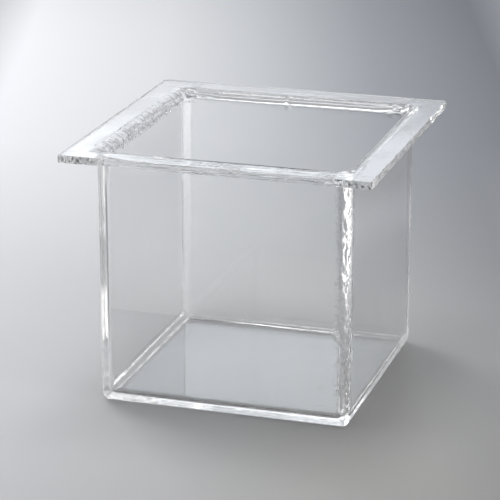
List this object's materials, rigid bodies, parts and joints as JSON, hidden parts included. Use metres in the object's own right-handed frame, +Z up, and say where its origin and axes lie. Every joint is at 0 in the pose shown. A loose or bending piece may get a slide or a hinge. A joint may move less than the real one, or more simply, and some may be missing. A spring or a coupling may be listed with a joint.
{
  "type": "open glass tank with flange",
  "caption": "Open-topped square tank of clear glass plates joined by flame-welded seams, with a flat square flange round its mouth to hang it by or to carry a cover.",
  "frame": {"origin": "middle of the underside of the base, where the tank stands", "axes": "+Z up through the open mouth, +X towards the right-hand wall, -Y towards the front wall"},
  "size_m": [0.25, 0.25, 0.209],
  "materials": {
    "clear_plate": "clear polished plate glass, fire-polished edges",
    "sawn_plate": "clear plate glass with sawn, chipped and frosted edges",
    "fused_seam": "clear flame-welded glass, rounded, rippled, with small bubbles"
  },
  "bodies": {
    "root": {"base_plate": "clear_plate", "front_wall": "clear_plate", "back_wall": "clear_plate", "left_wall": "clear_plate", "right_wall": "clear_plate", "front_rim_strip": "clear_plate", "back_rim_strip": "clear_plate", "left_rim_strip": "sawn_plate", "right_rim_strip": "sawn_plate", "base_seam_front": "fused_seam", "base_seam_back": "fused_seam", "base_seam_left": "fused_seam", "base_seam_right": "fused_seam", "corner_seam_front_left": "fused_seam", "corner_seam_front_right": "fused_seam", "corner_seam_back_left": "fused_seam", "corner_seam_back_right": "fused_seam", "rim_seam_front": "fused_seam", "rim_seam_back": "fused_seam", "rim_seam_left": "fused_seam", "rim_seam_right": "fused_seam", "butt_seam_front_left": "fused_seam", "butt_seam_front_right": "fused_seam", "butt_seam_back_left": "fused_seam", "butt_seam_back_right": "fused_seam"}
  },
  "joints": []
}
